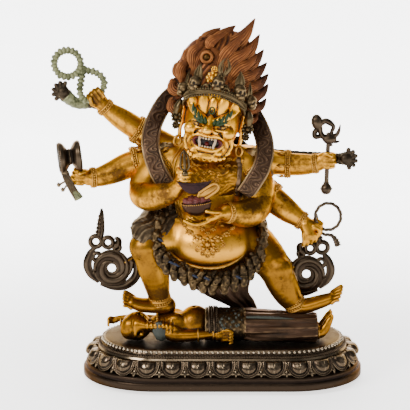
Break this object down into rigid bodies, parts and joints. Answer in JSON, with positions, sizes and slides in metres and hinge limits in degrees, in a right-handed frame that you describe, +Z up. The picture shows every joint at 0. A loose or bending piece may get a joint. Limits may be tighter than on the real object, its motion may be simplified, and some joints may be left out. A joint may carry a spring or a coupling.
{
  "type": "mahakala figure on a lotus plinth",
  "caption": "Striding six-armed protector figure in gilt copper, with hand attributes, scarf and hide, over a reclining figure on a beaded oval lotus plinth.",
  "frame": {"origin": "middle of the plinth's oval underside, on the surface that it stands on", "axes": "+Z up, the front of the figure faces -Y, and +X is towards the figure's left hand"},
  "size_m": [0.2496, 0.1205, 0.2855],
  "materials": {
    "gilt_copper": "worn fire gilding with brown in the hollows",
    "brown_bronze": "dark brown patina rubbed to bare metal on the edges",
    "red_copper": "red pigment over copper, engraved",
    "verdigris_bronze": "matt grey-green corrosion over bronze",
    "painted_detail": "old mineral paint"
  },
  "bodies": {
    "root": {"lotus_plinth": "brown_bronze", "trampled_figure": "gilt_copper", "striding_figure": "gilt_copper", "elephant_hide": "brown_bronze", "shoulder_scarf": "brown_bronze", "scarf_end_right": "brown_bronze", "scarf_end_left": "brown_bronze", "skull_rosary": "verdigris_bronze", "hand_drum": "brown_bronze", "trident": "brown_bronze", "noose": "gilt_copper", "flaying_knife": "brown_bronze", "skull_cup": "brown_bronze"}
  },
  "joints": []
}
